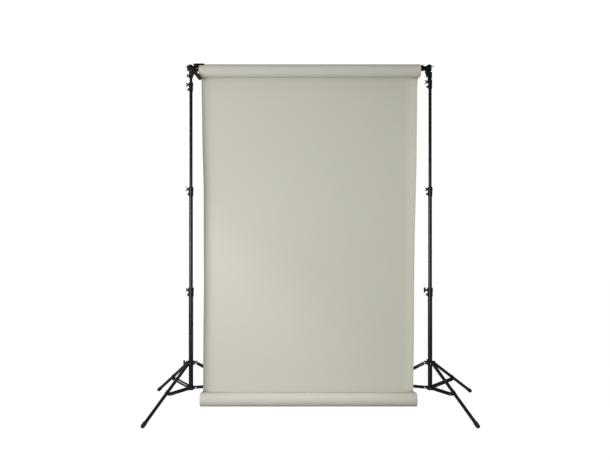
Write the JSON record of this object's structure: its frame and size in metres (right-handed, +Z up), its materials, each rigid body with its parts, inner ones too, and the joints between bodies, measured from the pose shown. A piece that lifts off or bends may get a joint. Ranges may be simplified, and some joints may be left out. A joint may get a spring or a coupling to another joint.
{
  "type": "backdrop paper roll on a stand",
  "caption": "Seamless paper roll hung on a crossbar between telescopic tripod stands, with the sheet drawn down to a second roll near the floor.",
  "frame": {"origin": "on the floor, under the centre of the whole rig's box", "axes": "+X along the crossbar, +Z up, -Y towards the side the paper is seen from"},
  "size_m": [2.1598, 0.916, 2.1259],
  "materials": {
    "stand_tube": "satin black powder coat",
    "stand_brace": "satin black paint over pressed steel",
    "collar_plastic": "moulded nylon, fine texture",
    "knob_plastic": "moulded, slightly glossy",
    "clamp_metal": "black paint over cast alloy",
    "crossbar_metal": "satin black",
    "cap_plastic": "moulded",
    "steel": "zinc plated",
    "core_board": "spiral wound board",
    "paper": "matte, fine tooth"
  },
  "bodies": {
    "left_base": {"left_base_tube": "stand_tube", "left_base_hub": "collar_plastic", "left_lower_collar": "collar_plastic"},
    "left_lower_section": {"left_lower_riser": "stand_tube", "left_middle_collar": "collar_plastic"},
    "left_middle_section": {"left_middle_riser": "stand_tube", "left_upper_collar": "collar_plastic"},
    "head_bar": {"left_top_riser": "stand_tube", "right_top_riser": "stand_tube", "left_clamp_body": "clamp_metal", "right_clamp_body": "clamp_metal", "crossbar_left": "crossbar_metal", "crossbar_right": "crossbar_metal", "crossbar_end_caps": "cap_plastic", "roll_brake_collar": "crossbar_metal", "roll_brake_pin": "steel", "stop_collar": "crossbar_metal", "paper_sheet": "paper"},
    "right_middle_section": {"right_middle_riser": "stand_tube", "right_upper_collar": "collar_plastic"},
    "right_lower_section": {"right_lower_riser": "stand_tube", "right_middle_collar": "collar_plastic"},
    "right_base": {"right_base_tube": "stand_tube", "right_base_hub": "collar_plastic", "right_lower_collar": "collar_plastic"},
    "left_spider": {"left_leg_spider": "collar_plastic"},
    "left_front_leg": {"left_front_leg": "stand_tube"},
    "left_front_brace": {"left_front_brace": "stand_brace"},
    "left_inner_leg": {"left_inner_leg": "stand_tube"},
    "left_inner_brace": {"left_inner_brace": "stand_brace"},
    "left_rear_leg": {"left_rear_leg": "stand_tube"},
    "left_rear_brace": {"left_rear_brace": "stand_brace"},
    "left_spider_knob": {"left_spider_knob": "knob_plastic"},
    "left_lower_knob": {"left_lower_knob": "knob_plastic"},
    "left_middle_knob": {"left_middle_knob": "knob_plastic"},
    "left_upper_knob": {"left_upper_knob": "knob_plastic"},
    "left_clamp_stud_knob": {"left_clamp_stud_knob": "knob_plastic"},
    "left_clamp_jaw": {"left_clamp_jaw": "clamp_metal"},
    "left_clamp_lever": {"left_clamp_lever": "clamp_metal"},
    "right_spider": {"right_leg_spider": "collar_plastic"},
    "right_front_leg": {"right_front_leg": "stand_tube"},
    "right_front_brace": {"right_front_brace": "stand_brace"},
    "right_inner_leg": {"right_inner_leg": "stand_tube"},
    "right_inner_brace": {"right_inner_brace": "stand_brace"},
    "right_rear_leg": {"right_rear_leg": "stand_tube"},
    "right_rear_brace": {"right_rear_brace": "stand_brace"},
    "right_spider_knob": {"right_spider_knob": "knob_plastic"},
    "right_lower_knob": {"right_lower_knob": "knob_plastic"},
    "right_middle_knob": {"right_middle_knob": "knob_plastic"},
    "right_upper_knob": {"right_upper_knob": "knob_plastic"},
    "right_clamp_stud_knob": {"right_clamp_stud_knob": "knob_plastic"},
    "right_clamp_jaw": {"right_clamp_jaw": "clamp_metal"},
    "right_clamp_lever": {"right_clamp_lever": "clamp_metal"},
    "top_roll": {"paper_roll": "paper", "roll_core": "core_board"},
    "bottom_roll": {"bottom_roll": "paper", "bottom_core": "core_board"},
    "snap_button": {"crossbar_snap_button": "steel"},
    "brake_lever": {"roll_brake_lever": "crossbar_metal"},
    "thumbscrew": {"stop_thumbscrew": "steel"}
  },
  "joints": [
    {"name": "left_lower_riser_slide", "type": "slide", "parent": "left_base", "child": "left_lower_section", "axis": [0, 0, 1], "range_m": [-0.53, 0]},
    {"name": "left_middle_riser_slide", "type": "slide", "parent": "left_lower_section", "child": "left_middle_section", "axis": [0, 0, 1], "range_m": [-0.59, 0]},
    {"name": "left_top_riser_slide", "type": "slide", "parent": "left_middle_section", "child": "head_bar", "axis": [0, 0, 1], "range_m": [0, 0.46]},
    {"name": "right_top_riser_slide", "type": "slide", "parent": "head_bar", "child": "right_middle_section", "axis": [0, 0, -1], "range_m": [0, 0.46]},
    {"name": "right_middle_riser_slide", "type": "slide", "parent": "right_middle_section", "child": "right_lower_section", "axis": [0, 0, -1], "range_m": [-0.59, 0]},
    {"name": "right_lower_riser_slide", "type": "slide", "parent": "right_lower_section", "child": "right_base", "axis": [0, 0, -1], "range_m": [-0.53, 0]},
    {"name": "left_spider_slide", "type": "slide", "parent": "left_base", "child": "left_spider", "axis": [0, 0, 1], "range_m": [0, 0.3388]},
    {"name": "left_front_leg_hinge", "type": "hinge", "parent": "left_spider", "child": "left_front_leg", "pos_m": [-0.78334, 0.00141, 0.2726], "axis": [0.9348, -0.3551, 0], "range_deg": [0, 57.62]},
    {"name": "left_front_brace_hinge", "type": "hinge", "parent": "left_base", "child": "left_front_brace", "pos_m": [-0.78334, 0.00141, 0.1189], "axis": [-0.9348, 0.3551, 0], "range_deg": [0, 87.3]},
    {"name": "left_inner_leg_hinge", "type": "hinge", "parent": "left_spider", "child": "left_inner_leg", "pos_m": [-0.74023, 0.03539, 0.2726], "axis": [-0.1271, 0.9919, 0], "range_deg": [0, 57.62]},
    {"name": "left_inner_brace_hinge", "type": "hinge", "parent": "left_base", "child": "left_inner_brace", "pos_m": [-0.74023, 0.03539, 0.1189], "axis": [0.1271, -0.9919, 0], "range_deg": [0, 87.3]},
    {"name": "left_rear_leg_hinge", "type": "hinge", "parent": "left_spider", "child": "left_rear_leg", "pos_m": [-0.79056, 0.05737, 0.2726], "axis": [-0.8141, -0.5807, 0], "range_deg": [0, 57.62]},
    {"name": "left_rear_brace_hinge", "type": "hinge", "parent": "left_base", "child": "left_rear_brace", "pos_m": [-0.79056, 0.05737, 0.1189], "axis": [0.8141, 0.5807, 0], "range_deg": [0, 87.3]},
    {"name": "left_spider_knob_turn", "type": "hinge", "parent": "left_spider", "child": "left_spider_knob", "pos_m": [-0.77197, 0.03132, 0.2746], "axis": [-0.9976, -0.0698, 0], "range_deg": [0, 270]},
    {"name": "left_lower_knob_turn", "type": "hinge", "parent": "left_base", "child": "left_lower_knob", "pos_m": [-0.77197, 0.03132, 0.729], "axis": [-1, 0, 0], "range_deg": [0, 270]},
    {"name": "left_middle_knob_turn", "type": "hinge", "parent": "left_lower_section", "child": "left_middle_knob", "pos_m": [-0.77197, 0.03132, 1.359], "axis": [-1, 0, 0], "range_deg": [0, 270]},
    {"name": "left_upper_knob_turn", "type": "hinge", "parent": "left_middle_section", "child": "left_upper_knob", "pos_m": [-0.77197, 0.03132, 2.014], "axis": [-1, 0, 0], "range_deg": [0, 270]},
    {"name": "left_clamp_stud_knob_turn", "type": "hinge", "parent": "head_bar", "child": "left_clamp_stud_knob", "pos_m": [-0.77197, 0.03132, 2.07], "axis": [-1, 0, 0], "range_deg": [0, 270]},
    {"name": "left_clamp_jaw_slide", "type": "slide", "parent": "head_bar", "child": "left_clamp_jaw", "axis": [0, -1, 0], "range_m": [0, 0.008]},
    {"name": "left_clamp_lever_turn", "type": "hinge", "parent": "left_clamp_jaw", "child": "left_clamp_lever", "pos_m": [-0.75797, -0.02568, 2.1017], "axis": [0, -1, 0], "range_deg": [0, 720]},
    {"name": "right_spider_slide", "type": "slide", "parent": "right_base", "child": "right_spider", "axis": [0, 0, 1], "range_m": [0, 0.3388]},
    {"name": "right_front_leg_hinge", "type": "hinge", "parent": "right_spider", "child": "right_front_leg", "pos_m": [0.73618, 0.00133, 0.2726], "axis": [0.9373, 0.3486, 0], "range_deg": [0, 57.62]},
    {"name": "right_front_brace_hinge", "type": "hinge", "parent": "right_base", "child": "right_front_brace", "pos_m": [0.73618, 0.00133, 0.1189], "axis": [-0.9373, -0.3486, 0], "range_deg": [0, 87.3]},
    {"name": "right_inner_leg_hinge", "type": "hinge", "parent": "right_spider", "child": "right_inner_leg", "pos_m": [0.69362, 0.03748, 0.2726], "axis": [-0.1925, -0.9813, 0], "range_deg": [0, 57.62]},
    {"name": "right_inner_brace_hinge", "type": "hinge", "parent": "right_base", "child": "right_inner_brace", "pos_m": [0.69362, 0.03748, 0.1189], "axis": [0.1925, 0.9813, 0], "range_deg": [0, 87.3]},
    {"name": "right_rear_leg_hinge", "type": "hinge", "parent": "right_spider", "child": "right_rear_leg", "pos_m": [0.74656, 0.05499, 0.2726], "axis": [-0.7396, 0.673, 0], "range_deg": [0, 57.62]},
    {"name": "right_rear_brace_hinge", "type": "hinge", "parent": "right_base", "child": "right_rear_brace", "pos_m": [0.74656, 0.05499, 0.1189], "axis": [0.7396, -0.673, 0], "range_deg": [0, 87.3]},
    {"name": "right_spider_knob_turn", "type": "hinge", "parent": "right_spider", "child": "right_spider_knob", "pos_m": [0.72503, 0.03132, 0.2746], "axis": [-0.3239, 0.9461, 0], "range_deg": [0, 270]},
    {"name": "right_lower_knob_turn", "type": "hinge", "parent": "right_base", "child": "right_lower_knob", "pos_m": [0.72503, 0.03132, 0.729], "axis": [-1, 0, 0], "range_deg": [0, 270]},
    {"name": "right_middle_knob_turn", "type": "hinge", "parent": "right_lower_section", "child": "right_middle_knob", "pos_m": [0.72503, 0.03132, 1.359], "axis": [-1, 0, 0], "range_deg": [0, 270]},
    {"name": "right_upper_knob_turn", "type": "hinge", "parent": "right_middle_section", "child": "right_upper_knob", "pos_m": [0.72503, 0.03132, 2.031], "axis": [-1, 0, 0], "range_deg": [0, 270]},
    {"name": "right_clamp_stud_knob_turn", "type": "hinge", "parent": "head_bar", "child": "right_clamp_stud_knob", "pos_m": [0.72503, 0.03132, 2.07], "axis": [-1, 0, 0], "range_deg": [0, 270]},
    {"name": "right_clamp_jaw_slide", "type": "slide", "parent": "head_bar", "child": "right_clamp_jaw", "axis": [0, -1, 0], "range_m": [0, 0.008]},
    {"name": "right_clamp_lever_turn", "type": "hinge", "parent": "right_clamp_jaw", "child": "right_clamp_lever", "pos_m": [0.70203, -0.02568, 2.1017], "axis": [0, -1, 0], "range_deg": [0, 720]},
    {"name": "paper_lift", "type": "slide", "parent": "head_bar", "child": "bottom_roll", "axis": [0, 0, -1], "range_m": [-1.9, 0], "deforming": ["paper_sheet"]},
    {"name": "top_roll_spin", "type": "hinge", "parent": "head_bar", "child": "top_roll", "pos_m": [-0.02697, -0.02568, 2.086], "axis": [1, 0, 0], "range_deg": [0, 2725]},
    {"name": "snap_button_press", "type": "slide", "parent": "head_bar", "child": "snap_button", "axis": [0, 0, 1], "range_m": [0, 0.0035]},
    {"name": "brake_lever_tilt", "type": "hinge", "parent": "head_bar", "child": "brake_lever", "pos_m": [-0.72597, -0.04914, 2.11396], "axis": [0, -0.766, -0.6428], "range_deg": [0, 5]},
    {"name": "stop_thumbscrew_turn", "type": "hinge", "parent": "head_bar", "child": "thumbscrew", "pos_m": [0.66603, -0.02568, 2.1017], "axis": [0, 0, 1], "range_deg": [0, 360]}
  ],
  "couplings": [
    {"joint": "right_lower_riser_slide", "follows": "left_lower_riser_slide", "ratio": 1},
    {"joint": "right_middle_riser_slide", "follows": "left_middle_riser_slide", "ratio": 1},
    {"joint": "right_top_riser_slide", "follows": "left_top_riser_slide", "ratio": 1},
    {"joint": "left_front_leg_hinge", "follows": "left_spider_slide", "rad_per_m": 2.9675},
    {"joint": "left_front_brace_hinge", "follows": "left_spider_slide", "rad_per_m": 4.4962},
    {"joint": "left_inner_leg_hinge", "follows": "left_spider_slide", "rad_per_m": 2.9675},
    {"joint": "left_inner_brace_hinge", "follows": "left_spider_slide", "rad_per_m": 4.4962},
    {"joint": "left_rear_leg_hinge", "follows": "left_spider_slide", "rad_per_m": 2.9675},
    {"joint": "left_rear_brace_hinge", "follows": "left_spider_slide", "rad_per_m": 4.4962},
    {"joint": "left_clamp_jaw_slide", "follows": "left_clamp_lever_turn", "m_per_rad": 0.00063662},
    {"joint": "right_front_leg_hinge", "follows": "right_spider_slide", "rad_per_m": 2.9675},
    {"joint": "right_front_brace_hinge", "follows": "right_spider_slide", "rad_per_m": 4.4962},
    {"joint": "right_inner_leg_hinge", "follows": "right_spider_slide", "rad_per_m": 2.9675},
    {"joint": "right_inner_brace_hinge", "follows": "right_spider_slide", "rad_per_m": 4.4962},
    {"joint": "right_rear_leg_hinge", "follows": "right_spider_slide", "rad_per_m": 2.9675},
    {"joint": "right_rear_brace_hinge", "follows": "right_spider_slide", "rad_per_m": 4.4962},
    {"joint": "right_clamp_jaw_slide", "follows": "right_clamp_lever_turn", "m_per_rad": 0.00063662},
    {"joint": "top_roll_spin", "follows": "paper_lift", "rad_per_m": -25}
  ]
}
